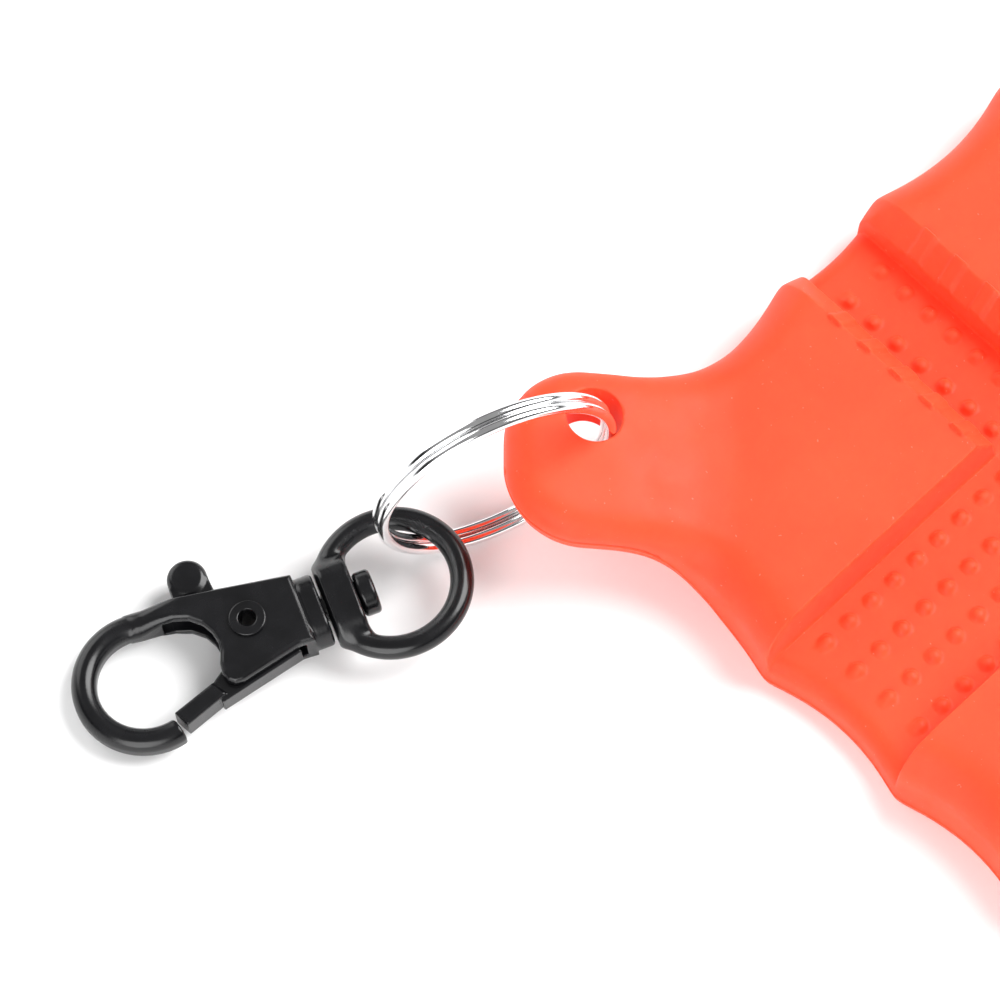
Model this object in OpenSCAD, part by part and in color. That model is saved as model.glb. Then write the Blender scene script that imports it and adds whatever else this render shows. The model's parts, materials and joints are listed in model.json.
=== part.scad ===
// Silicone grip pad on a split ring, with a swivel snap hook.
// Millimetres. Origin at the centre of the pad's underside, +Z up.
// The narrow ribbed channel runs along X, the wide plain channel along Y,
// and the tab is on the corner at -X, -Y.

/* [Pad] */
// Width across the points between the finger scallops
pad_w = 70; // [68:0.5:72]
// Thickness at the tops of the four blocks
pad_t = 10; // [9.5:0.25:11]
// Thickness under the channels
floor_t = 4.5; // [4:0.25:5]
// Depth of each finger scallop
scallop_depth = 1.8; // [1.2:0.1:2.2]
// Radius of the rounded rim along the blocks' outer edges
rim_r = 4.7; // [3:0.1:5]

/* [Channels] */
// Floor width of the narrow ribbed channel
narrow_w = 8.2; // [7.5:0.1:8.5]
// Mouth width of the narrow channel, at the block tops
narrow_mouth = 13; // [12.5:0.25:14]
// Height of the narrow channel's upright walls, below its sloped band
narrow_wall = 3.7; // [3:0.1:4]
// Width of the wide plain channel
wide_w = 17; // [16:0.25:17.5]
// Diameter of each grip dome on the channel floors
dome_d = 1.5; // [1.2:0.1:1.8]
// Height of each grip dome
dome_h = 0.6; // [0.4:0.05:0.7]
// Radius of each rib on the sloped bands
rib_r = 0.65; // [0.5:0.05:0.7]

/* [Tab] */
// Width of the corner tab
tab_w = 17.6; // [16:0.2:18.5]
// Distance from the pad's centre to the tab's end, along the diagonal
tab_reach = 55.8; // [55:0.2:58]
// Diameter of the hole for the split ring
hole_d = 5.6; // [5.4:0.1:5.8]

/* [Split ring] */
// Outside diameter of the split ring
ring_od = 25; // [24.9:0.05:25.1]
// Diameter of its wire
ring_wire = 1.1; // [1:0.05:1.1]

/* [Swivel clip] */
// Outside diameter of the swivel eye
eye_od = 15.6; // [15.4:0.1:15.8]
// Diameter of the eye's round section
eye_wire = 2.3; // [2.2:0.05:2.3]
// Width of the boss that holds the swivel rivet
boss_w = 8.6; // [8:0.1:9]
// Thickness of the clip's body across both cheeks
body_t = 4.6; // [4.5:0.05:4.7]
// Outer radius of the round hook
hook_r = 7.15; // [7:0.05:7.2]
// Width of the hook's section
hook_wire = 2.45; // [2.3:0.05:2.5]
// Diameter of the hollow gate rivet's flange
rivet_flange_d = 3.6; // [3.4:0.1:3.8]

/* [Hidden] */

eps = 0.01;
half_w = pad_w / 2;
silicone = [1, 0.34, 0.24];
nickel = [0.85, 0.86, 0.88];
black = [0.07, 0.07, 0.08];

// Points between scallops, along the sides that the narrow channel opens on,
// and along the sides that the wide channel opens on.
narrow_side = [-half_w + 11, -6.4, 6.4, half_w - 11];
wide_side = [-half_w + 9.5, -8.7, 8.7, half_w - 9.5];
scallop_r = 22;
point_round = 0.35;
lobe_r = 9.5;
side_step = 1.7;

// Neck arcs that join the two scallops beside the tab to the tab's sides.
neck_a_start = 14.9;
neck_b_start = 17.1;
neck_a_depth = 33.52;
neck_b_depth = 33.69;
neck_a_r = ((neck_a_depth - neck_a_start) / sqrt(2) - tab_w / 2) / (1 - sqrt(0.5));
neck_b_r = ((neck_b_depth - neck_b_start) / sqrt(2) - tab_w / 2) / (1 - sqrt(0.5));
neck_steps = 6;

// Rim of the blocks, as a stack of slices that approach a quarter round.
rim_slices = 5;
rim_turn = 90 / rim_slices;

// Tab: its mid-line [distance along the diagonal, height] and half thickness.
tab_cut = 34;
tab_line = [[tab_cut, 5, 5], [37.2, 6.2, 4.2], [39.8, 7.7, 3.5], [42.4, 8.75, 3.2],
            [45, 9.65, 3.1], [48, 10.25, 3.05], [tab_reach, 11.4, 3]];
tab_corner_r = 7.5;
tab_slices = [[0.45, 0.15], [0.8, 1.0], [1, 2.3]];
hole_reach = 47.65;
hole_side = 3.06;
hole_lean = 9;
hole_mid_z = 10.2;

// Domes: rows across and pitch along each channel.
narrow_rows = [-2.2, 2.2];
narrow_pitch = 3.2;
wide_rows = [-6.15, -2.05, 2.05, 6.15];
wide_pitch = 3.05;
dome_last = 31;
dome_r = (dome_d * dome_d / 4 + dome_h * dome_h) / (2 * dome_h);

// Ribs: places along the narrow channel, the same on all four blocks.
rib_first = 11.3;
rib_pitch = 4.07;
rib_count = 5;
band_run = (narrow_mouth - narrow_w) / 2;
band_rise = pad_t - floor_t - narrow_wall;
band_slope = atan2(band_rise, band_run);
band_length = sqrt(band_run * band_run + band_rise * band_rise);
rib_sink = 0.2;

// Split ring: it stands upright through the tab's hole. Its place is along and
// beside the diagonal, and ring_turn is the turn of its plane from the diagonal.
ring_reach = 56.7;
ring_side = 2.5;
ring_turn = 24.7;
ring_mean_r = (ring_od - ring_wire) / 2 - eps;
coil_offset = ring_wire / 2 - eps;

// Swivel clip: place of the eye's centre, turn of the clip's long axis from the
// diagonal, and the slope that it lies at, from the hook's end up to the eye.
eye_reach = 66.44;
eye_side = 10.25;
eye_z = 4.5;
clip_turn = -160;
clip_slope = 5.35;

eye_mean_r = (eye_od - eye_wire) / 2;
boss_x = [-6.6, -3.6];
boss_t = 4.8;
boss_bore_r = 1.36;

swivel_r = 1.3;
swivel_tail_x = -9.8;
head_x = [-3.5, -1.8];
head_r = 2.2;
head_edge = 0.4;

collar_x = [-8.9, -7.1];
collar_w = 7.4;
collar_t = 4.6;
root_t = 3.6;
root_x = -20.8;
slot_x = [-22, -9.9];
slot_half = 1.2;
hook_centre = [-25.4, -0.9];
hook_mean_r = hook_r - hook_wire / 2;
hook_start = 76;
hook_sweep = 209;
hook_square = 0.25;
pivot = [-14.24, 0.79];
rivet_r = 1.25;
rivet_hole_r = 0.875;
rivet_flange_t = 0.4;
pivot_bore_r = 1.31;
gate_half = 1.12;
nose_half = 1.4;

spring_r = 1.85;
spring_wire_r = 0.18;
spring_turns = 2;
spring_steps = 20;
spring_sides = 8;
spring_rise = 0.39;
spring_z = 0.22;
spring_pocket_r = 2.2;
spring_leg = 2.4;

// ---- Helpers ----

// A frame along the pad's diagonal: X out through the tab's corner.
module diagonal() {
    rotate([0, 0, 225]) children();
}

// The clip's own frame: origin at the eye's centre, X from the hook to the eye.
module clip() {
    diagonal()
        translate([eye_reach, eye_side, eye_z])
            rotate([0, -clip_slope, clip_turn])
                children();
}

// A rounded bar lying along X between two places, w wide and t thick.
module stadium_x(x, w, t) {
    translate([x[0], 0, 0])
        rotate([90, 0, 90])
            linear_extrude(x[1] - x[0])
                union() {
                    square([w - t, t], center = true);
                    for (side = [-1, 1]) translate([side * (w - t) / 2, 0]) circle(d = t, $fn = 48);
                }
}

// ---- Pad outline ----

// Depth of the scalloped edge at place t along a side.
function sag(t, a, b) =
    let (m = (a + b) / 2, h = (b - a) / 2)
    sqrt(scallop_r * scallop_r - (t - m) * (t - m)) - sqrt(scallop_r * scallop_r - h * h);
function scallop(t, p) =
    t <= p[0] || t >= p[3] ? 0
    : t < p[1] ? sag(t, p[0], p[1])
    : t < p[2] ? sag(t, p[1], p[2])
    : sag(t, p[2], p[3]);
function edge_depth(t, p) =
    let (s = scallop(t, p) * scallop_depth / 1.8)
    sqrt(s * s + point_round * point_round) - point_round;

// Points along one side from t = a to t = b, k in from the outer edge.
function side(p, a, b, k) =
    let (n = ceil(abs(b - a) / side_step))
    [for (i = [0:n]) let (t = a + (b - a) * i / n) [t, half_w - k - edge_depth(t, p)]];
function turned(points, angle) =
    [for (q = points) [q[0] * cos(angle) - q[1] * sin(angle), q[0] * sin(angle) + q[1] * cos(angle)]];
function lobe(k, angle) =
    let (c = half_w - lobe_r)
    turned([for (i = [1:6]) let (a = i * 90 / 7) [c + (lobe_r - k) * cos(a), c + (lobe_r - k) * sin(a)]], angle);
function neck_a(k) =
    [for (i = [1:neck_steps]) let (a = 45 * i / neck_steps)
        [-neck_a_depth - neck_a_r + (neck_a_r + k) * cos(a), -neck_a_start - (neck_a_r + k) * sin(a)]];
function neck_b(k) =
    [for (i = [neck_steps:-1:1]) let (a = 45 * i / neck_steps)
        [-neck_b_start - (neck_b_r + k) * sin(a), -neck_b_depth - neck_b_r + (neck_b_r + k) * cos(a)]];

// The pad's outline, counter-clockwise, without the tab.
function pad_outline(k) = concat(
    turned(side(narrow_side, 25.5, -25.5, k), -90),
    lobe(k, 0),
    side(wide_side, 25.5, -25.5, k),
    lobe(k, 90),
    turned(side(narrow_side, 25.5, -neck_a_start, k), 90),
    neck_a(k),
    neck_b(k),
    turned(side(wide_side, neck_b_start, -25.5, k), 180),
    lobe(k, 270));

// ---- Pad ----

module rim_stack() {
    for (i = [0:rim_slices - 1])
        linear_extrude(pad_t - rim_r + rim_r * sin(rim_turn * (i + 1)))
            polygon(pad_outline(rim_r * (1 - cos(rim_turn * (i + 0.5)))));
}

module channels() {
    rotate([90, 0, 90])
        translate([0, 0, -pad_w])
            linear_extrude(2 * pad_w)
                polygon([[-narrow_w / 2, floor_t], [narrow_w / 2, floor_t],
                         [narrow_w / 2, floor_t + narrow_wall], [narrow_mouth / 2, pad_t + eps],
                         [narrow_mouth / 2, pad_t + 1], [-narrow_mouth / 2, pad_t + 1],
                         [-narrow_mouth / 2, pad_t + eps], [-narrow_w / 2, floor_t + narrow_wall]]);
    translate([-wide_w / 2, -pad_w, floor_t])
        cube([wide_w, 2 * pad_w, pad_t]);
}

module dome(x, y) {
    translate([x, y, floor_t + dome_h - dome_r]) sphere(dome_r, $fn = 24);
}

// Domes on the floor of the narrow channel, in both directions from the crossing.
module narrow_domes(y) {
    for (x = [wide_w / 2 + 2 : narrow_pitch : dome_last], side = [-1, 1]) dome(side * x, y);
}

// Domes on the floor of the wide channel, on one side of the fold.
module wide_domes(side) {
    for (x = wide_rows, y = [1.9 : wide_pitch : dome_last]) dome(x, side * y);
}

module ribs(side) {
    for (i = [0:rib_count - 1], end = [-1, 1])
        translate([end * (rib_first + i * rib_pitch), side * narrow_w / 2, floor_t + narrow_wall])
            rotate([90 - side * 90 + side * band_slope, 0, 0])
                translate([0, 0.25, -rib_sink])
                    rotate([-90, 0, 0])
                        cylinder(h = band_length - 0.4, r = rib_r, $fn = 24);
}

// The tab's side profile, with its thickness scaled by f, cut to its plan k in from the edge.
module tab_slice(f, k) {
    intersection() {
        linear_extrude(3 * pad_t)
            union() {
                polygon(concat(neck_a(k), neck_b(k), [[-12, -29], [-29, -12]]));
                diagonal()
                    union() {
                        translate([tab_cut + 4, k - tab_w / 2])
                            square([tab_reach - tab_cut - 4 - tab_corner_r, tab_w - 2 * k]);
                        translate([tab_cut + 4, k + tab_corner_r - tab_w / 2])
                            square([tab_reach - tab_cut - 4 - k, tab_w - 2 * tab_corner_r - 2 * k]);
                        for (side = [-1, 1])
                            translate([tab_reach - tab_corner_r, side * (tab_w / 2 - tab_corner_r)])
                                circle(tab_corner_r - k, $fn = 64);
                    }
            }
        diagonal()
            rotate([90, 0, 0])
                translate([0, 0, -pad_w / 2])
                    linear_extrude(pad_w)
                        polygon(concat(
                            [for (q = tab_line) [q[0], q[1] + f * q[2]]],
                            [for (i = [len(tab_line) - 1 : -1 : 0])
                                [tab_line[i][0], tab_line[i][1] - f * tab_line[i][2]]]));
    }
}

module tab() {
    difference() {
        for (s = tab_slices) tab_slice(s[0], s[1]);
        diagonal()
            translate([hole_reach, -hole_side, hole_mid_z])
                rotate([0, -hole_lean, 0])
                    cylinder(h = 12, d = hole_d, center = true, $fn = 64);
    }
}

// One half of the pad: side -1 holds the tab, side 1 is free.
module pad_half(side) {
    difference() {
        rim_stack();
        channels();
        translate([-pad_w, side < 0 ? 0 : -2 * pad_w, -1]) cube([2 * pad_w, 2 * pad_w, 20]);
        diagonal() translate([tab_cut, -pad_w / 2, -1]) cube([20, pad_w, 20]);
    }
    narrow_domes(side * narrow_rows[1]);
    wide_domes(side);
    ribs(side);
}

module pad_tab_half() {
    color(silicone)
        union() {
            pad_half(-1);
            tab();
        }
}

module pad_free_half() {
    color(silicone) pad_half(1);
}

// ---- Split ring: two turns of wire side by side ----

module split_ring() {
    color(nickel)
        diagonal()
            translate([ring_reach, ring_side, ring_od / 2 + 0.05])
                rotate([90, 0, ring_turn])
                    rotate_extrude($fn = 128)
                        for (side = [-1, 1])
                            translate([ring_mean_r, side * coil_offset]) circle(d = ring_wire, $fn = 32);
}

// ---- Swivel clip ----

module swivel_eye() {
    color(black)
        clip()
            difference() {
                union() {
                    difference() {
                        rotate_extrude($fn = 96) translate([eye_mean_r, 0]) circle(d = eye_wire, $fn = 40);
                        translate([boss_x[0] - eye_od, -eye_od / 2, -eye_wire])
                            cube([eye_od, eye_od, 2 * eye_wire]);
                    }
                    stadium_x(boss_x, boss_w, boss_t);
                }
                translate([boss_x[0] - 1, 0, 0])
                    rotate([0, 90, 0])
                        cylinder(h = boss_x[1] - boss_x[0] + 2, r = boss_bore_r, $fn = 48);
            }
}

module swivel_rivet() {
    color(black)
        clip()
            rotate([0, 90, 0])
                rotate_extrude($fn = 64)
                    polygon([[0, swivel_tail_x], [swivel_r, swivel_tail_x], [swivel_r, head_x[0]],
                             [head_r, head_x[0]], [head_r, head_x[1] - head_edge],
                             [head_r - head_edge, head_x[1]], [0, head_x[1]]]);
}

// Outline of the clip's cheeks, from the hook's root round to the collar and back.
cheek_outline = [[-24.4, 6.2], [-22.4, 6.05], [-20.3, 5.75], [-16, 5], [-8.9, 3.7], [-8.9, -3.5],
                 [-10.4, -3.4], [-16.6, -4.85], [-17.5, -4.8], [-18.1, -4.3], [-18.35, -3.5], [-18.2, -2.4],
                 [-17.75, -1.2], [-17.6, -0.2], [-17.8, 0.9], [-18.4, 2.1], [-19.5, 3.1],
                 [-20.9, 3.6], [-22.4, 3.75], [-23.9, 3.6]];

// The cheeks and the solid stretches that join them, thinner at the hook's root.
module cheeks() {
    difference() {
        union() {
            linear_extrude(root_t, center = true) polygon(cheek_outline);
            intersection() {
                linear_extrude(body_t, center = true) polygon(cheek_outline);
                translate([root_x, -10, -body_t]) cube([20, 20, 2 * body_t]);
            }
        }
        translate([slot_x[0], -10, -slot_half])
            cube([slot_x[1] - slot_x[0], 20, 2 * slot_half]);
    }
}

module hook_arc() {
    translate([hook_centre[0], hook_centre[1], 0])
        rotate([0, 0, hook_start])
            rotate_extrude(angle = hook_sweep, $fn = 96)
                union() {
                    for (side = [-1, 1])
                        translate([hook_mean_r, side * hook_square]) circle(d = hook_wire, $fn = 32);
                    translate([hook_mean_r, 0])
                        square([hook_wire, 2 * hook_square], center = true);
                }
}

module hook_body() {
    color(black)
        clip()
            difference() {
                union() {
                    cheeks();
                    hook_arc();
                    stadium_x(collar_x, collar_w, collar_t);
                }
                translate([swivel_tail_x, 0, 0])
                    rotate([0, 90, 0])
                        cylinder(h = 5, r = swivel_r, $fn = 64);
                translate([pivot[0], pivot[1], -body_t])
                    cylinder(h = 2 * body_t, r = rivet_r, $fn = 48);
            }
}

// Gate lever: nose block, web between the cheeks, and thumb piece.
nose_outline = [[-23.9, -5.2], [-19.5, -3.65], [-18.6, -5.2], [-23.1, -6.85]];
web_outline = [[-19.7, -3.8], [-17.1, -1.9], [-16.9, 0.8], [-18.3, 3], [-20.1, 5.2], [-20.1, 7],
               [-16.3, 7], [-16.1, 4.6], [-14.2, 3.3], [-12.1, 2.3], [-11.3, 0.6], [-10.6, -2.6],
               [-10.5, -3.75], [-19.2, -5.85]];
thumb_centre = [-18.2, 7.45];
thumb_r = 1.95;

module gate_lever() {
    color(black)
        clip()
            difference() {
                union() {
                    linear_extrude(2 * nose_half, center = true) polygon(nose_outline);
                    linear_extrude(2 * gate_half, center = true) polygon(web_outline);
                    translate([thumb_centre[0], thumb_centre[1], 0])
                        cylinder(h = 2 * nose_half, r = thumb_r, center = true, $fn = 48);
                }
                translate([pivot[0], pivot[1], -body_t])
                    cylinder(h = 2 * body_t, r = pivot_bore_r, $fn = 48);
                translate([pivot[0], pivot[1], 0])
                    cylinder(h = body_t, r = spring_pocket_r, $fn = 48);
                translate([pivot[0] - spring_leg - 0.3, pivot[1] - spring_pocket_r, 0])
                    cube([2 * spring_leg + 0.6, 0.7, body_t]);
            }
}

module gate_rivet() {
    color(black)
        clip()
            translate([pivot[0], pivot[1], 0])
                difference() {
                    union() {
                        cylinder(h = body_t + eps, r = rivet_r, center = true, $fn = 48);
                        for (side = [-1, 1])
                            translate([0, 0, side * (body_t + rivet_flange_t) / 2])
                                cylinder(h = rivet_flange_t, d = rivet_flange_d, center = true, $fn = 48);
                    }
                    cylinder(h = 2 * body_t, r = rivet_hole_r, center = true, $fn = 48);
                }
}

// Gate spring: wire coiled two turns around the rivet, with a straight leg at
// each end. Each place on its path is [position, outward direction].
spring_path = concat(
    [[[-spring_leg, -spring_r, spring_z], [0, -1, 0]]],
    [for (i = [0 : spring_turns * spring_steps])
        let (a = 360 * i / spring_steps - 90, z = spring_z + i * spring_rise / spring_steps)
        [[spring_r * cos(a), spring_r * sin(a), z], [cos(a), sin(a), 0]]],
    [[[spring_leg, -spring_r, spring_z + spring_turns * spring_rise], [0, -1, 0]]]);

module gate_spring() {
    rings = len(spring_path);
    color(nickel)
        clip()
            translate([pivot[0], pivot[1], 0])
                polyhedron(
                    points = [for (q = spring_path, j = [0 : spring_sides - 1])
                        let (b = 360 * j / spring_sides)
                        q[0] + spring_wire_r * (cos(b) * q[1] + sin(b) * [0, 0, 1])],
                    faces = concat(
                        [[for (j = [0 : spring_sides - 1]) j]],
                        [for (i = [0 : rings - 2], j = [0 : spring_sides - 1])
                            let (k = (j + 1) % spring_sides)
                            [i * spring_sides + j, (i + 1) * spring_sides + j,
                             (i + 1) * spring_sides + k, i * spring_sides + k]],
                        [[for (j = [spring_sides - 1 : -1 : 0]) (rings - 1) * spring_sides + j]]));
}

pad_tab_half();
pad_free_half();
split_ring();
swivel_eye();
swivel_rivet();
hook_body();
gate_lever();
gate_rivet();
gate_spring();
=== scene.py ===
"""Silicone grip pad on a split ring with a swivel snap hook, in metres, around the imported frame."""
import itertools
import json
import math

import bmesh
import bpy
import numpy as np
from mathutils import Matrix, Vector


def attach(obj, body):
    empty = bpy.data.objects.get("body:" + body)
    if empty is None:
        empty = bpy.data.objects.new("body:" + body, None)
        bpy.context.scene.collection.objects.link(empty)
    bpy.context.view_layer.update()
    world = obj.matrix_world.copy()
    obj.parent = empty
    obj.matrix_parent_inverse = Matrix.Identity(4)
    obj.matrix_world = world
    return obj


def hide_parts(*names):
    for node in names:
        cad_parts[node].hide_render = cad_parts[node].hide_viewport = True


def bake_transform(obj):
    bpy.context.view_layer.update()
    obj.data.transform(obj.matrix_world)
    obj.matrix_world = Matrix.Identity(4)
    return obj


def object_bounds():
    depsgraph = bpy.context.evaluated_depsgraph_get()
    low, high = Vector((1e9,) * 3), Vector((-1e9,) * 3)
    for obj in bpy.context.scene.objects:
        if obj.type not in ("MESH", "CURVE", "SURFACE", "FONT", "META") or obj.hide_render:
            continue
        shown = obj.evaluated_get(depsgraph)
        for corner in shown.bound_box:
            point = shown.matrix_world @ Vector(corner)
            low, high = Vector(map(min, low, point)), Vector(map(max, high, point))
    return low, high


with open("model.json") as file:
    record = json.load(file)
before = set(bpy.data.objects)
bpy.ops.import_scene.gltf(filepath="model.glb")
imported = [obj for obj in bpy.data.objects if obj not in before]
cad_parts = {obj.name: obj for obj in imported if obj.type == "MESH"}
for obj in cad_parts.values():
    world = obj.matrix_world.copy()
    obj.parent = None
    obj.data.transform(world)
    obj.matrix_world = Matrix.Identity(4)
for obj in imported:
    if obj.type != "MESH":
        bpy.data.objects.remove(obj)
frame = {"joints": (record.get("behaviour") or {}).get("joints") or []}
CAD_BOX = [list(corner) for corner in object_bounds()]

MM = 0.001
ROOT_HALF = math.sqrt(0.5)

# Pad, in millimetres, as the CAD part has it.
HALF_W = 35.0
PAD_T = 10.0
FLOOR_T = 4.5
RIM_R = 4.7
CHANNEL_RIM_R = 1.8
BASE_R = 0.45
# Down a wall of the height given last: height over its foot and how far it stands out there, with the
# mould's parting line. Heights over 1 stretch with the wall.
WALL_LINE = ((3.4, 0), (2, 0), (0.8, 0), (0.66, 0.01), (0.58, 0.06), (0.46, 0.08), (0.34, 0.06), (0.26, 0.01))
WALL_LINE_H = 4.5
SCALLOP_R = 22.0
POINT_ROUND = 0.4
LOBE_R = 9.5
NARROW_POINTS = (-24.0, -6.4, 6.4, 24.0)
WIDE_POINTS = (-25.5, -8.7, 8.7, 25.5)
NARROW_HALF = 4.1
NARROW_WALL_TOP = 8.2
NARROW_MOUTH_HALF = 6.5
WIDE_HALF = 8.5
DOME_R = 0.76
DOME_H = 0.6
NARROW_PITCH = 3.2
WIDE_PITCH = 3.05
DOME_LAST = 31.0
WIDE_ROWS = (-6.15, -2.05, 2.05, 6.15)
NARROW_ROWS = (-2.2, 2.2)
RIB_FIRST = 11.3
RIB_PITCH = 4.07
RIB_COUNT = 5
RIB_HALF = 0.9
RIB_H = 0.5
# Where the ribs fade in and out, across the channel from its middle.
RIB_BAND_IN = (4.1, 4.3)
RIB_BAND_OUT = (6.5, 6.8)

# Tab.
NECK_START_A = 14.9
NECK_START_B = 17.1
TAB_HALF = 8.8
TAB_REACH = 55.8
TAB_CORNER_R = 7.5
TAB_WALL = 0.7
TAB_LINE_S = (34.0, 37.2, 39.8, 42.4, 45.0, 48.0, 55.8)
TAB_LINE_MID = (5.0, 6.2, 7.7, 8.75, 9.65, 10.25, 11.4)
TAB_LINE_HALF = (5.0, 4.2, 3.5, 3.2, 3.1, 3.05, 3.0)
HOLE_S, HOLE_V, HOLE_Z = 47.65, -3.06, 10.2
HOLE_LEAN = math.radians(9)
HOLE_R = 2.75
HOLE_LEAN_SIDE = math.radians(8)
HOLE_ROUND = 0.35

# Split ring.
WIRE_R = 0.55
COIL_R = 11.92
COIL_OFFSET = 0.55
# The wire's width along the ring's axis, as a part of its height, and its taper at each cut end.
WIRE_FLAT = 0.985
WIRE_END = (0.72, 0.9, 0.97, 1.0)
CROSS_HALF = math.radians(18)
CROSS_TURN = math.radians(50)
RING_TURN = math.radians(24.7)
RING_CENTRE = (56.7, 2.5, 12.55)

# Clip, along and across its own plane from the middle of the swivel eye.
EYE_R = 6.65
EYE_WIRE_R = 1.15
BODY_T = 4.6
ROOT_T = 2.95
SLOT_HALF = 1.2
SLOT_MIDDLE = -15.95
SLOT_REACH = 6.05
HOOK_CENTRE = (-25.4, -0.9)
HOOK_R = 5.925
HOOK_WIRE_R = 1.225
HOOK_ENDS = (math.radians(76), math.radians(285))
PIVOT = (-14.24, 0.79)
THUMB = (-18.2, 7.45)
THUMB_R = 1.95
WEB_HALF = 1.12
NOSE_HALF = 1.4
GATE_BORE_R = 1.31
# The gate's pockets for the spring: round the pivot, then wider and higher up for the upper leg.
POCKET_R = 2.2
TOP_POCKET_R = 3.25
TOP_POCKET_Z = 0.72
RIVET_BORE_R = 1.25
SWIVEL_BORE_R = 1.3
EYE_BORE_R = 1.36
EYELET_HALF = 2.5
EYELET_RIM_R = 1.8
EYELET_BORE_R = 0.875
CHEEKS = [(-25.15, 6.2), (-24.2, 6.15), (-22.4, 5.95), (-20.3, 5.75), (-16, 5), (-8.9, 3.7), (-8.9, -3.5),
          (-10.4, -3.4), (-16.6, -4.85), (-17.5, -4.8), (-18.1, -4.3), (-18.35, -3.5), (-18.2, -2.4),
          (-17.75, -1.2), (-17.6, -0.2), (-17.8, 0.9), (-18.4, 2.1), (-19.5, 3.1), (-20.9, 3.6),
          (-22.4, 3.72), (-23.9, 3.62), (-25.2, 3.8)]
NOSE = [(-23.9, -5.2), (-19.5, -3.65), (-18.6, -5.2), (-23.1, -6.85)]
WEB = [(-19.7, -3.8), (-17.1, -1.9), (-16.9, 0.8), (-18.3, 3), (-20.1, 5.2), (-20.1, 7), (-16.3, 7),
       (-16.1, 4.6), (-14.2, 3.3), (-12.1, 2.3), (-11.3, 0.6), (-10.6, -2.6), (-10.5, -3.75), (-19.2, -5.85)]
SPRING_R = 1.85
SPRING_WIRE_R = 0.18
SPRING_RISE = 0.78
SPRING_Z = 0.22
SPRING_LEG = 2.4


# ---- Small helpers ----

def diagonal(s, v, z):
    """A point given along and beside the pad's diagonal, in the row frame."""
    return (-ROOT_HALF * s + ROOT_HALF * v, -ROOT_HALF * s - ROOT_HALF * v, z)


def make_object(name, verts, faces):
    mesh = bpy.data.meshes.new(name)
    mesh.from_pydata(verts, [], faces)
    mesh.update()
    obj = bpy.data.objects.new(name, mesh)
    bpy.context.scene.collection.objects.link(obj)
    return obj


def tube_faces(rings, sides):
    """Quads along a tube made of rings of vertices, with a cap on each end."""
    faces = []
    for i in range(rings - 1):
        for j in range(sides):
            k = (j + 1) % sides
            faces.append((i * sides + j, i * sides + k, (i + 1) * sides + k, (i + 1) * sides + j))
    faces.append(tuple(range(sides))[::-1])
    faces.append(tuple((rings - 1) * sides + j for j in range(sides)))
    return faces


def apply_modifiers(obj):
    graph = bpy.context.evaluated_depsgraph_get()
    mesh = bpy.data.meshes.new_from_object(obj.evaluated_get(graph))
    obj.modifiers.clear()
    obj.data = mesh


def smooth_shade(obj):
    obj.data.polygons.foreach_set("use_smooth", [True] * len(obj.data.polygons))


def outward(obj):
    bm = bmesh.new()
    bm.from_mesh(obj.data)
    bmesh.ops.recalc_face_normals(bm, faces=bm.faces)
    bm.to_mesh(obj.data)
    bm.free()


# ---- Materials ----

def new_material(name):
    mat = bpy.data.materials.new(name)
    mat.use_nodes = True
    nodes, links = mat.node_tree.nodes, mat.node_tree.links
    return mat, nodes, links, nodes["Principled BSDF"]


def noise(nodes, links, scale, detail=3.0):
    coords = nodes.new("ShaderNodeTexCoord")
    node = nodes.new("ShaderNodeTexNoise")
    node.inputs["Scale"].default_value = scale
    node.inputs["Detail"].default_value = detail
    links.new(coords.outputs["Object"], node.inputs["Vector"])
    return node


def ramp(nodes, links, source, low, high, at=(0.3, 0.7)):
    node = nodes.new("ShaderNodeValToRGB")
    node.color_ramp.elements[0].position, node.color_ramp.elements[1].position = at
    node.color_ramp.elements[0].color = low
    node.color_ramp.elements[1].color = high
    links.new(source, node.inputs["Fac"])
    return node


def add_bump(nodes, links, bsdf, height, strength, distance):
    bump = nodes.new("ShaderNodeBump")
    bump.inputs["Strength"].default_value = strength
    bump.inputs["Distance"].default_value = distance
    links.new(height, bump.inputs["Height"])
    links.new(bump.outputs["Normal"], bsdf.inputs["Normal"])


def grey(value):
    return (value, value, value, 1)


def silicone_material():
    """Matte translucent orange-red silicone, with fine moulding grain and specks of dust."""
    mat, nodes, links, bsdf = new_material("silicone")
    mottle = noise(nodes, links, 90)
    colour = ramp(nodes, links, mottle.outputs["Fac"], (1.0, 0.056, 0.015, 1), (1.0, 0.068, 0.02, 1))
    specks = noise(nodes, links, 2600, 1.0)
    speck_mask = ramp(nodes, links, specks.outputs["Fac"], grey(0), grey(0.3), (0.765, 0.8))
    mix = nodes.new("ShaderNodeMix")
    mix.data_type = "RGBA"
    mix.inputs["B"].default_value = (1.0, 0.4, 0.3, 1)
    links.new(speck_mask.outputs["Color"], mix.inputs["Factor"])
    links.new(colour.outputs["Color"], mix.inputs["A"])
    links.new(mix.outputs["Result"], bsdf.inputs["Base Color"])
    bsdf.inputs["Subsurface Weight"].default_value = 0.55
    bsdf.inputs["Subsurface Radius"].default_value = (1.0, 0.22, 0.12)
    bsdf.inputs["Subsurface Scale"].default_value = 0.0012
    bsdf.inputs["Sheen Weight"].default_value = 0.04
    bsdf.inputs["Sheen Roughness"].default_value = 0.5
    bsdf.inputs["Specular IOR Level"].default_value = 0.25
    wear = noise(nodes, links, 260)
    rough = ramp(nodes, links, wear.outputs["Fac"], grey(0.5), grey(0.62))
    links.new(rough.outputs["Color"], bsdf.inputs["Roughness"])
    grain = noise(nodes, links, 3200, 4.0)
    add_bump(nodes, links, bsdf, grain.outputs["Fac"], 0.12, 0.00008)
    return mat


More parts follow.
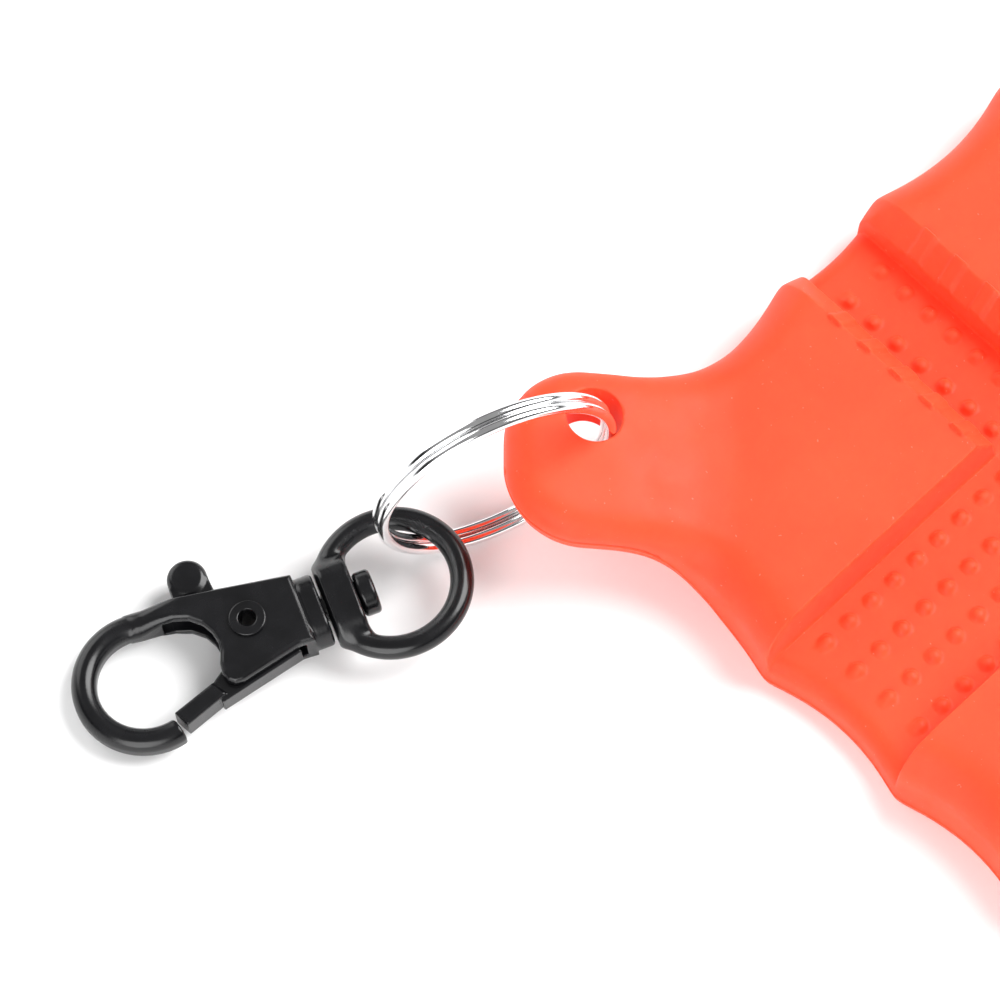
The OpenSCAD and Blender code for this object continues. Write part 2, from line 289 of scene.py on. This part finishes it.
def black_material():
    """Satin black plating on cast zinc, a little smoother where it is handled."""
    mat, nodes, links, bsdf = new_material("black_clip")
    tone = noise(nodes, links, 300)
    colour = ramp(nodes, links, tone.outputs["Fac"], (0.003, 0.003, 0.0035, 1), (0.005, 0.005, 0.006, 1))
    links.new(colour.outputs["Color"], bsdf.inputs["Base Color"])
    rough = ramp(nodes, links, tone.outputs["Fac"], grey(0.2), grey(0.3))
    links.new(rough.outputs["Color"], bsdf.inputs["Roughness"])
    bsdf.inputs["Specular IOR Level"].default_value = 0.4
    grain = noise(nodes, links, 1800, 3.0)
    add_bump(nodes, links, bsdf, grain.outputs["Fac"], 0.12, 0.00005)
    return mat


def nickel_material(name, roughness):
    """Plated steel wire with faint drawing marks."""
    mat, nodes, links, bsdf = new_material(name)
    bsdf.inputs["Metallic"].default_value = 1.0
    tone = noise(nodes, links, 500)
    colour = ramp(nodes, links, tone.outputs["Fac"], (0.78, 0.78, 0.79, 1), (0.9, 0.9, 0.9, 1))
    links.new(colour.outputs["Color"], bsdf.inputs["Base Color"])
    rough = ramp(nodes, links, tone.outputs["Fac"], grey(roughness), grey(roughness * 2))
    links.new(rough.outputs["Color"], bsdf.inputs["Roughness"])
    return mat


def floor_material():
    mat, nodes, links, bsdf = new_material("pale_floor")
    tone = noise(nodes, links, 8)
    colour = ramp(nodes, links, tone.outputs["Fac"], grey(0.9), grey(0.92))
    links.new(colour.outputs["Color"], bsdf.inputs["Base Color"])
    bsdf.inputs["Roughness"].default_value = 0.6
    return mat


# ---- Pad outline, in millimetres ----

def edge_depth(t, points):
    """Depth of the scalloped edge at each place t along a side."""
    t = np.asarray(t, float)
    depth = np.zeros_like(t)
    for a, b in zip(points[:-1], points[1:]):
        middle, half = (a + b) / 2, (b - a) / 2
        inside = (t > a) & (t < b)
        chord = math.sqrt(SCALLOP_R ** 2 - half ** 2)
        arc = np.sqrt(np.maximum(SCALLOP_R ** 2 - (t - middle) ** 2, 0)) - chord
        depth = np.where(inside, arc, depth)
    return np.sqrt(depth ** 2 + POINT_ROUND ** 2) - POINT_ROUND


def neck_depth(start):
    """How far out the pad's edge is where the neck leaves it."""
    points = NARROW_POINTS if start == NECK_START_A else WIDE_POINTS
    return HALF_W - float(edge_depth(-start, points))


def neck(start, steps):
    """From the deepest place of the scallop beside the tab, along the neck and the tab's side, to its tip.

    Given for the side at -X; the side at -Y is its mirror image.
    """
    depth = neck_depth(start)
    radius = ((depth - start) * ROOT_HALF - TAB_HALF) / (1 - ROOT_HALF)
    points = [(-depth, -start)]
    for a in np.radians(np.linspace(3, 45, 15)):
        points.append((-depth - radius + radius * math.cos(a), -start - radius * math.sin(a)))
    corner_s, corner_w = TAB_REACH - TAB_CORNER_R, TAB_HALF - TAB_CORNER_R
    for a in np.radians(np.linspace(90, 0, 16)):
        s, w = corner_s + TAB_CORNER_R * math.cos(a), corner_w + TAB_CORNER_R * math.sin(a)
        points.append((-ROOT_HALF * (s + w), -ROOT_HALF * (s - w)))
    points.append((-ROOT_HALF * TAB_REACH, -ROOT_HALF * TAB_REACH))
    points = np.array(points)
    run = np.concatenate([[0], np.cumsum(np.linalg.norm(np.diff(points, axis=0), axis=1))])
    at = steps * run[-1]
    return np.stack([np.interp(at, run, points[:, 0]), np.interp(at, run, points[:, 1])], 1)


def plan_map(p, q):
    """Carry a square grid onto the pad's scalloped plan, with its tab."""
    pull_x = np.clip((np.abs(p) - 18) / (HALF_W - 18), 0, 1)
    pull_y = np.clip((np.abs(q) - 18) / (HALF_W - 18), 0, 1)
    x = p - np.sign(p) * pull_x * edge_depth(q, NARROW_POINTS)
    y = q - np.sign(q) * pull_y * edge_depth(p, WIDE_POINTS)
    c = HALF_W - LOBE_R
    corner = (np.abs(p) > c) & (np.abs(q) > c)
    a, b = (np.abs(p) - c) / LOBE_R, (np.abs(q) - c) / LOBE_R
    x = np.where(corner, np.sign(p) * (c + LOBE_R * a * np.sqrt(np.maximum(1 - b * b / 2, 0))), x)
    y = np.where(corner, np.sign(q) * (c + LOBE_R * b * np.sqrt(np.maximum(1 - a * a / 2, 0))), y)
    # The tab's corner is one patch, stretched between its four edges.
    tab = (p < -NECK_START_A) & (q < -NECK_START_A)
    u = np.clip((-p - NECK_START_A) / (HALF_W - NECK_START_A), 0, 1)
    v = np.clip((-q - NECK_START_A) / (HALF_W - NECK_START_A), 0, 1)
    outer_u = neck(NECK_START_A, v.ravel()).reshape(*v.shape, 2)
    outer_v = neck(NECK_START_B, u.ravel()).reshape(*u.shape, 2)[..., ::-1]
    start = np.array([-NECK_START_A, -NECK_START_A])
    corner_u = np.array([-neck_depth(NECK_START_A), -NECK_START_A])
    corner_v = np.array([-NECK_START_B, -neck_depth(NECK_START_B)])
    tip = np.array([-ROOT_HALF * TAB_REACH] * 2)
    u3, v3 = u[..., None], v[..., None]
    inner_v = start + u3 * (corner_u - start)
    inner_u = start + v3 * (corner_v - start)
    patch = (1 - v3) * inner_v + v3 * outer_v + (1 - u3) * inner_u + u3 * outer_u
    patch -= (1 - u3) * (1 - v3) * start + u3 * (1 - v3) * corner_u + (1 - u3) * v3 * corner_v + u3 * v3 * tip
    return np.where(tab, patch[..., 0], x), np.where(tab, patch[..., 1], y)


# ---- Pad surface ----

def smooth_min(a, b, soft):
    h = np.clip(0.5 + 0.5 * (b - a) / soft, 0, 1)
    return b * (1 - h) + a * h - soft * h * (1 - h)


def smooth_step(value, low, high):
    t = np.clip((value - low) / (high - low), 0, 1)
    return t * t * (3 - 2 * t)


def rim_drop(distance, across, down):
    """How far a rounded rim falls at each distance in from the edge."""
    f = np.clip(distance / across, 0, 1)
    return down * (1 - np.sqrt(np.maximum(1 - (1 - f) ** 2, 0)))


def bumps(x, y):
    """Grip domes on the channel floors."""
    height = np.zeros_like(x)
    places = [(side * s, row) for row in NARROW_ROWS for side in (-1, 1)
              for s in np.arange(WIDE_HALF + 2, DOME_LAST, NARROW_PITCH)]
    places += [(row, side * s) for row in WIDE_ROWS for side in (-1, 1)
               for s in np.arange(1.9, DOME_LAST, WIDE_PITCH)]
    for cx, cy in places:
        r2 = ((x - cx) ** 2 + (y - cy) ** 2) / DOME_R ** 2
        height = np.maximum(height, DOME_H * np.sqrt(np.maximum(1 - r2, 0)))
    return height


def ribs(x, y):
    """Rounded ribs down the narrow channel's sloped bands."""
    band = smooth_step(np.abs(y), *RIB_BAND_IN) * (1 - smooth_step(np.abs(y), *RIB_BAND_OUT))
    height = np.zeros_like(x)
    for i in range(RIB_COUNT):
        f = (np.abs(x) - RIB_FIRST - i * RIB_PITCH) / RIB_HALF
        height = np.maximum(height, np.sqrt(np.maximum(1 - f ** 6, 0)))
    return RIB_H * band * height


def top_height(x, y, distance):
    ay, ax = np.abs(y), np.abs(x)
    wall = FLOOR_T + (NARROW_WALL_TOP - FLOOR_T) * smooth_step(ay, NARROW_HALF - 0.2, NARROW_HALF + 0.2)
    slope = (PAD_T - NARROW_WALL_TOP) * np.clip((ay - NARROW_HALF) / (NARROW_MOUTH_HALF - NARROW_HALF), 0, 1)
    narrow = wall + slope
    wide = FLOOR_T + (PAD_T - FLOOR_T) * smooth_step(ax, WIDE_HALF - 0.2, WIDE_HALF + 0.3)
    height = smooth_min(narrow, wide, 0.2)
    block = np.clip((height - FLOOR_T) / (PAD_T - FLOOR_T), 0, 1)
    block_rim = PAD_T - rim_drop(distance, RIM_R, RIM_R)
    floor_rim = FLOOR_T - rim_drop(distance, CHANNEL_RIM_R, CHANNEL_RIM_R)
    height = smooth_min(height, block_rim, 0.4) * block + np.minimum(height, floor_rim) * (1 - block)
    domes = bumps(x, y) * (block < 0.2)
    return height + domes + ribs(x, y) * (distance > 3)


def grid_lines(walls):
    """Grid places across the pad, closest together at the rim and at the channel's walls."""
    step = 0.22
    rim = RIM_R * (1 - np.cos(np.radians(np.linspace(0, 90, 14))))
    inner = HALF_W - rim[-1]
    middle = np.linspace(-inner, inner, int(2 * inner / step) + 1)
    near = np.linspace(-0.36, 0.36, 13)
    fine = np.concatenate([side * (wall + near) for wall in walls for side in (-1, 1)])
    apart = np.abs(middle[:, None] - fine[None]).min(1) > 0.05
    middle = np.sort(np.concatenate([middle[apart], fine]))
    return np.concatenate([-HALF_W + rim[:-1], middle, (HALF_W - rim[:-1])[::-1]])


def edge_distance(x, y, loop):
    """Distance from each point to the closed outline."""
    closed = np.concatenate([loop, loop[:1]])
    a, d = closed[:-1], np.diff(closed, axis=0)
    length2 = np.maximum((d ** 2).sum(1), 1e-12)
    flat = np.stack([x.ravel(), y.ravel()], 1)
    out = np.empty(len(flat))
    for i in range(0, len(flat), 4000):
        rel = flat[i:i + 4000, None] - a[None]
        t = np.clip((rel * d).sum(2) / length2, 0, 1)
        out[i:i + 4000] = np.sqrt(((rel - t[..., None] * d) ** 2).sum(2).min(1))
    return out.reshape(x.shape)


def tab_profile(s, values):
    """The tab's side profile at each reach along the diagonal, with its corners eased."""
    reach = np.linspace(28, 60, 321)
    ease = np.hanning(35)
    line = np.pad(np.interp(reach, TAB_LINE_S, values), 17, mode="edge")
    return np.interp(s, reach, np.convolve(line, ease / ease.sum(), "valid"))


def bend_tab(x, y, z):
    """Thin the pad out into its tab and lift the tab off the table."""
    s = -(x + y) * ROOT_HALF
    lifted = tab_profile(s, TAB_LINE_MID) + (z - PAD_T / 2) / (PAD_T / 2) * tab_profile(s, TAB_LINE_HALF)
    return np.where(s > TAB_LINE_S[0] - 2, lifted, z)


def grid_faces(ids):
    """Quads over a grid of vertex numbers."""
    return np.stack([ids[:-1, :-1], ids[1:, :-1], ids[1:, 1:], ids[:-1, 1:]], -1).reshape(-1, 4)


def pad_mesh():
    across, along = grid_lines([WIDE_HALF]), grid_lines([NARROW_HALF, NARROW_MOUTH_HALF])
    m, n = len(across), len(along)
    p, q = np.meshgrid(across, along, indexing="ij")
    x, y = plan_map(p, q)
    ring = [(i, 0) for i in range(m)] + [(m - 1, j) for j in range(1, n)]
    ring += [(i, n - 1) for i in range(m - 2, -1, -1)] + [(0, j) for j in range(n - 2, 0, -1)]
    rows, cols = np.array(ring).T
    loop = np.stack([x[rows, cols], y[rows, cols]], 1)
    distance = edge_distance(x, y, loop[::2])
    distance[rows, cols] = 0
    s = -(x + y) * ROOT_HALF
    into_tab = smooth_step(s, 35, 45)
    top = top_height(x, y, distance)
    half_here = tab_profile(s, TAB_LINE_HALF)
    tab_top = PAD_T - rim_drop(distance, half_here, PAD_T / 2 - TAB_WALL)
    top = top * (1 - into_tab) + tab_top * into_tab
    base_across = BASE_R + (half_here - BASE_R) * into_tab
    base_down = BASE_R + (PAD_T / 2 - TAB_WALL - BASE_R) * into_tab
    base = rim_drop(distance, base_across, base_down)
    top, base = bend_tab(x, y, top), bend_tab(x, y, base)
    top_verts = np.stack([x, y, top], -1).reshape(-1, 3)
    base_verts = np.stack([x, y, base], -1).reshape(-1, 3)
    verts = np.concatenate([top_verts, base_verts])
    top_id = np.arange(m * n).reshape(m, n)
    base_id = top_id + m * n
    faces = [grid_faces(top_id), grid_faces(base_id)[:, ::-1]]
    # The wall between the two rims, with its fine parting line near the foot.
    wall_ids = [top_id[rows, cols]]
    step_out = loop - np.roll(loop, 1, axis=0) + np.roll(loop, -1, axis=0) - loop
    normal = np.stack([-step_out[:, 1], step_out[:, 0]], 1)
    normal /= -np.linalg.norm(normal, axis=1)[:, None]
    extra = []
    count = len(verts)
    foot, head = base[rows, cols], top[rows, cols]
    for height, out in WALL_LINE:
        upper_part = foot + (head - foot) * height / WALL_LINE_H
        near_foot = foot + height * np.minimum(head - foot, 1)
        z = np.where(height > 1, upper_part, near_foot)
        extra.append(np.stack([loop[:, 0] + out * normal[:, 0], loop[:, 1] + out * normal[:, 1], z], 1))
        wall_ids.append(count + np.arange(len(loop)))
        count += len(loop)
    wall_ids.append(base_id[rows, cols])
    for upper, lower in zip(wall_ids[:-1], wall_ids[1:]):
        faces.append(np.stack([upper, lower, np.roll(lower, -1), np.roll(upper, -1)], 1))
    verts = np.concatenate([verts] + extra) * MM
    return make_object("grip_pad", verts.tolist(), np.concatenate(faces).tolist())


def hole_cutter():
    """A spool that leaves the tab's hole with rounded rims."""
    half = np.interp(HOLE_S, TAB_LINE_S, TAB_LINE_HALF)
    profile = [(HOLE_R + HOLE_ROUND + 1.6, half + 1.5)]
    for a in np.radians(np.linspace(0, 90, 8)):
        inward, up = HOLE_ROUND * math.sin(a), HOLE_ROUND * math.cos(a)
        profile.append((HOLE_R + HOLE_ROUND - inward, half + 0.02 - HOLE_ROUND + up))
    profile += [(r, -z) for r, z in reversed(profile)]
    sides = 72
    verts = []
    cos_l, sin_l = math.cos(HOLE_LEAN), math.sin(HOLE_LEAN)
    for r, h in profile:
        for j in range(sides):
            a = 2 * math.pi * j / sides
            du, dv = r * math.cos(a), r * math.sin(a)
            s = HOLE_S + du * cos_l - h * sin_l
            v = HOLE_V + dv - h * math.tan(HOLE_LEAN_SIDE)
            verts.append([c * MM for c in diagonal(s, v, HOLE_Z + du * sin_l + h * cos_l)])
    return make_object("hole_cutter", verts, tube_faces(len(profile), sides))


def build_pad(material):
    pad = pad_mesh()
    outward(pad)
    cutter = hole_cutter()
    outward(cutter)
    cut = pad.modifiers.new("hole", "BOOLEAN")
    cut.operation, cut.solver, cut.object = "DIFFERENCE", "EXACT", cutter
    apply_modifiers(pad)
    bpy.data.objects.remove(cutter)
    smooth_shade(pad)
    pad.data.materials.append(material)
    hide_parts("pad_tab_half", "pad_free_half")
    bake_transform(pad)
    return pad


# ---- Split ring ----

def build_split_ring(material):
    """Two turns of wire with a crossover, and its two cut ends beside it."""
    gap = math.radians(2)
    first, last = CROSS_HALF + gap, 4 * math.pi - CROSS_HALF - gap
    steps, sides = 900, 32
    direction = Vector(diagonal(math.cos(RING_TURN), math.sin(RING_TURN), 0))
    normal = Vector(diagonal(math.sin(RING_TURN), -math.cos(RING_TURN), 0))
    centre = Vector(diagonal(*RING_CENTRE))
    verts = []
    for i in range(steps + 1):
        angle = first + (last - first) * i / steps
        side = -1 + 2 * float(smooth_step(angle, 2 * math.pi - CROSS_HALF, 2 * math.pi + CROSS_HALF))
        turn = angle - CROSS_TURN
        out = direction * -math.cos(turn) + Vector((0, 0, 1)) * math.sin(turn)
        from_end = min(i, steps - i)
        r = WIRE_R * WIRE_END[min(from_end, 3)]
        here = centre + out * COIL_R + normal * side * COIL_OFFSET
        for j in range(sides):
            b = 2 * math.pi * j / sides
            verts.append((here + r * (out * math.cos(b) + normal * WIRE_FLAT * math.sin(b))) * MM)
    ring = make_object("split_ring_wire", verts, tube_faces(steps + 1, sides))
    outward(ring)
    smooth_shade(ring)
    ring.data.materials.append(material)
    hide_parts("split_ring")
    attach(ring, "ring")


# ---- Clip: cast pieces, as rounded solids that flow into each other ----

def surface_nets(field, origin, step):
    """A closed mesh of the surface where a field on a grid changes sign."""
    inside = field < 0
    shape = np.array(field.shape) - 1
    total, count = np.zeros((*shape, 3)), np.zeros(shape)

    def part(corner):
        return tuple(slice(c, c + n) for c, n in zip(corner, shape))

    for corner in itertools.product((0, 1), repeat=3):
        for axis in range(3):
            if corner[axis]:
                continue
            other = tuple(1 if k == axis else c for k, c in enumerate(corner))
            a, b = field[part(corner)], field[part(other)]
            crossing = inside[part(corner)] != inside[part(other)]
            t = np.where(crossing, a / np.where(crossing, a - b, 1), 0)
            for k in range(3):
                total[..., k] += crossing * (corner[k] + (t if k == axis else 0))
            count += crossing
    cells = np.argwhere(count > 0)
    at = tuple(cells.T)
    index = np.full(shape, -1)
    index[at] = np.arange(len(cells))
    verts = (cells + total[at] / count[at][:, None]) * step + origin
    faces = []
    for axis in range(3):
        u, v = (axis + 1) % 3, (axis + 2) % 3
        edges = np.argwhere(np.diff(inside.astype(np.int8), axis=axis) != 0)
        around = []
        for du, dv in ((-1, -1), (0, -1), (0, 0), (-1, 0)):
            cell = edges.copy()
            cell[:, u] += du
            cell[:, v] += dv
            around.append(index[tuple(cell.T)])
        faces.append(np.stack(around, 1))
    return verts, np.concatenate(faces)


def smooth_max(a, b, soft):
    return -smooth_min(-a, -b, soft)


def rounded(a, b, soft):
    """Where both a and b are negative, with the edge between them rounded."""
    a, b = a + soft, b + soft
    return np.minimum(np.maximum(a, b), 0) + np.hypot(np.maximum(a, 0), np.maximum(b, 0)) - soft


def flat_shape(x, y, outline):
    """Signed distance to a flat outline, negative inside."""
    best, inside = np.full(x.shape, np.inf), np.zeros(x.shape, bool)
    for (ax, ay), (bx, by) in zip(outline, outline[1:] + outline[:1]):
        dx, dy = bx - ax, by - ay
        t = np.clip(((x - ax) * dx + (y - ay) * dy) / (dx * dx + dy * dy), 0, 1)
        best = np.minimum(best, np.hypot(x - ax - t * dx, y - ay - t * dy))
        if dy:
            inside ^= ((ay > y) != (by > y)) & (x < ax + (y - ay) * dx / dy)
    return np.where(inside, -best, best)


def stadium(x, y, z, ends, width, thickness, soft):
    """A bar across the clip with round sides, between two places along it."""
    across = np.hypot(np.maximum(np.abs(y) - (width - thickness) / 2, 0), z) - thickness / 2
    return rounded(across, np.abs(x - sum(ends) / 2) - (ends[1] - ends[0]) / 2, soft)


def hook_shape(x, y, z):
    dx, dy = x - HOOK_CENTRE[0], y - HOOK_CENTRE[1]
    wire = np.hypot(np.hypot(dx, dy) - HOOK_R, np.maximum(np.abs(z) - 0.25, 0)) - HOOK_WIRE_R
    start, end = HOOK_ENDS
    before = dx * math.sin(start) - dy * math.cos(start)
    beyond = -dx * math.sin(end) + dy * math.cos(end)
    wire = smooth_max(wire, np.where(dy > 0, before, beyond), 0.3)
    # The round wire swells and flattens into the cheeks.
    swell = smooth_step(x, -25, -19.5)
    half = ROOT_T / 2 + (BODY_T - ROOT_T) / 2 * swell
    cheeks = rounded(flat_shape(x, y, CHEEKS), np.abs(z) - half, 1.15 - 0.65 * swell)
    shape = smooth_min(wire, cheeks, 0.3)
    shape = smooth_min(shape, stadium(x, y, z, (-8.9, -7.1), 7.4, BODY_T, 0.35), 0.35)
    slot = np.maximum(np.abs(z) - SLOT_HALF, np.abs(x - SLOT_MIDDLE) - SLOT_REACH)
    shape = smooth_max(shape, -slot, 0.15)
    shape = np.maximum(shape, -np.maximum(np.hypot(y, z) - SWIVEL_BORE_R, -9.8 - x))
    return np.maximum(shape, RIVET_BORE_R - np.hypot(x - PIVOT[0], y - PIVOT[1]))


def gate_shape(x, y, z):
    web = rounded(flat_shape(x, y, WEB), np.abs(z) - WEB_HALF, 0.15)
    nose = rounded(flat_shape(x, y, NOSE), np.abs(z) - NOSE_HALF, 0.3)
    thumb = rounded(np.hypot(x - THUMB[0], y - THUMB[1]) - THUMB_R, np.abs(z) - NOSE_HALF, 0.7)
    shape = smooth_min(smooth_min(web, nose, 0.12), thumb, 0.25)
    dx, dy = x - PIVOT[0], y - PIVOT[1]
    from_pivot = np.hypot(dx, dy)
    shape = np.maximum(shape, GATE_BORE_R - from_pivot)
    shape = np.maximum(shape, -np.maximum(from_pivot - POCKET_R, -z))
    shape = np.maximum(shape, -np.maximum(from_pivot - TOP_POCKET_R, TOP_POCKET_Z - z))
    groove = np.maximum(np.abs(dx) - 2.7, np.abs(dy + 1.85) - 0.35)
    return np.maximum(shape, -np.maximum(groove, -z))


def eye_shape(x, y, z):
    wire = np.maximum(np.hypot(np.hypot(x, y) - EYE_R, z) - EYE_WIRE_R, -6.6 - x)
    shape = smooth_min(wire, stadium(x, y, z, (-6.6, -3.6), 8.6, 4.8, 0.4), 0.9)
    return np.maximum(shape, -np.maximum(np.hypot(y, z) - EYE_BORE_R, x + 3))


def pin_shape(x, y, z):
    r = np.hypot(y, z)
    shaft = np.maximum(r - SWIVEL_BORE_R, np.abs(x + 6.3) - 3.5)
    head = rounded(r - 2.2, np.abs(x + 2.65) - 0.85, 0.4)
    return smooth_min(shaft, head, 0.1)


def eyelet_shape(x, y, z):
    r = np.hypot(x - PIVOT[0], y - PIVOT[1])
    tube = np.maximum(r - RIVET_BORE_R, np.abs(z) - EYELET_HALF)
    rim = rounded(r - EYELET_RIM_R, np.abs(np.abs(z) - EYELET_HALF) - 0.2, 0.14)
    lip = np.hypot(r - 1.15, np.abs(z) - 2.52) - 0.17
    return smooth_max(smooth_min(np.minimum(tube, rim), lip, 0.08), EYELET_BORE_R - r, 0.1)


def clip_place():
    """The clip's origin in millimetres and its directions: along, across and up."""
    joints = {joint["name"]: joint for joint in frame["joints"]}
    along, up = np.array(joints["hook_swivel"]["axis"]), -np.array(joints["gate_pivot"]["axis"])
    return np.array(joints["hook_swivel"]["pos_m"]) / MM, np.stack([along, np.cross(up, along), up])


def cast(name, body, node, material, shape, low, high, step):
    """Turn a shape in the clip's own directions into a mesh that stands for a CAD node."""
    step *= 1
    ticks = [np.arange(a - 3 * step, b + 3 * step, step) for a, b in zip(low, high)]
    field = shape(*np.meshgrid(*ticks, indexing="ij"))
    verts, faces = surface_nets(field, np.array([t[0] for t in ticks]), step)
    centre, axes = clip_place()
    piece = make_object(name, ((verts @ axes + centre) * MM).tolist(), faces.tolist())
    outward(piece)
    smooth_shade(piece)
    piece.data.materials.append(material)
    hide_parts(node)
    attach(piece, body)


def build_spring(material):
    """Two turns of wire around the eyelet, with a straight leg out at each end."""
    path = [((-SPRING_LEG, -SPRING_R, SPRING_Z), (0, -1))]
    count = 96
    for i in range(count + 1):
        a = 4 * math.pi * i / count - math.pi / 2
        out = (math.cos(a), math.sin(a))
        path.append(((SPRING_R * out[0], SPRING_R * out[1], SPRING_Z + SPRING_RISE * i / count), out))
    path.append(((SPRING_LEG, -SPRING_R, SPRING_Z + SPRING_RISE), (0, -1)))
    centre, axes = clip_place()
    sides, verts = 12, []
    for place, out in path:
        for j in range(sides):
            b = 2 * math.pi * j / sides
            offset = (SPRING_WIRE_R * math.cos(b) * out[0], SPRING_WIRE_R * math.cos(b) * out[1],
                      SPRING_WIRE_R * math.sin(b))
            local = np.array(place) + np.array(offset) + np.array([*PIVOT, 0])
            verts.append(((local @ axes + centre) * MM).tolist())
    spring = make_object("torsion_spring", verts, tube_faces(len(path), sides))
    outward(spring)
    smooth_shade(spring)
    spring.data.materials.append(material)
    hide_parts("gate_spring")
    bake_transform(spring)


# ---- Stage ----

def build_stage():
    low, high = (Vector(corner) for corner in CAD_BOX)
    size = 3.0
    floor = make_object("floor", [(-size, -size, low.z), (size, -size, low.z), (size, size, low.z),
                                  (-size, size, low.z)], [(0, 1, 2, 3)])
    floor.data.materials.append(floor_material())


def area_light(name, place, target, size, power, colour=(1, 1, 1)):
    light = bpy.data.lights.new(name, "AREA")
    light.shape, light.size, light.energy, light.color = "DISK", size, power, colour
    obj = bpy.data.objects.new(name, light)
    obj.location = place
    obj.rotation_euler = (Vector(target) - Vector(place)).to_track_quat("-Z", "Y").to_euler()
    bpy.context.scene.collection.objects.link(obj)


def build_lights():
    aim = (-0.02, -0.03, 0)
    area_light("key", (0.2, 0.55, 0.7), aim, 0.8, 15)
    area_light("fill", (0.4, -0.8, 0.5), aim, 0.9, 10)
    area_light("side", (-0.8, -0.1, 0.4), aim, 0.6, 2.5)
    world = bpy.data.worlds.new("studio")
    bpy.context.scene.world = world
    world.use_nodes = True
    nodes, links = world.node_tree.nodes, world.node_tree.links
    coords = nodes.new("ShaderNodeTexCoord")
    split = nodes.new("ShaderNodeSeparateXYZ")
    links.new(coords.outputs["Generated"], split.inputs["Vector"])
    # Bright low walls, a dark band above them and a dim ceiling, for the ring and the clip to reflect.
    walls = ramp(nodes, links, split.outputs["Z"], grey(1.5), grey(0.04), (0.2, 0.3))
    ceiling = walls.color_ramp.elements.new(0.52)
    ceiling.color = grey(0.04)
    walls.color_ramp.elements.new(0.66).color = grey(0.34)
    links.new(walls.outputs["Color"], nodes["Background"].inputs["Color"])
    bpy.context.scene.view_settings.view_transform = "Standard"


def build_camera():
    """Looks across the pad's diagonal from high up, through a long lens."""
    elevation, distance, width = math.radians(65.5), 1.2, 0.0952
    aim = Vector((-0.0372, -0.0423, 0.009))
    look = Vector((-ROOT_HALF * math.cos(elevation), ROOT_HALF * math.cos(elevation), -math.sin(elevation)))
    camera = bpy.data.cameras.new("camera")
    camera.sensor_width = 36
    camera.lens = 36 * distance / width
    camera.clip_end = 10
    obj = bpy.data.objects.new("camera", camera)
    obj.location = aim - look * distance
    obj.rotation_euler = look.to_track_quat("-Z", "Y").to_euler()
    bpy.context.scene.collection.objects.link(obj)
    bpy.context.scene.camera = obj


build_camera()
silicone, black = silicone_material(), black_material()
nickel, spring_steel = nickel_material("ring_steel", 0.08), nickel_material("spring_steel", 0.18)
build_pad(silicone)
build_split_ring(nickel)
cast("eye_casting", "eye", "swivel_eye", black, eye_shape, (-6.7, -7.9, -2.5), (7.9, 7.9, 2.5), 0.1)
cast("hook_casting", "hook", "hook_body", black, hook_shape, (-32.7, -8.2, -2.4), (-7, 7.2, 2.4), 0.11)
cast("gate_casting", "gate", "gate_lever", black, gate_shape, (-24.1, -7, -1.5), (-10.3, 9.5, 1.5), 0.08)
cast("swivel_pin", "hook", "swivel_rivet", black, pin_shape, (-9.9, -2.3, -2.3), (-1.7, 2.3, 2.3), 0.08)
cast("eyelet", "hook", "gate_rivet", black, eyelet_shape, (-16.1, -1.1, -2.8), (-12.4, 2.7, 2.8), 0.06)
build_spring(spring_steel)
build_stage()
build_lights()
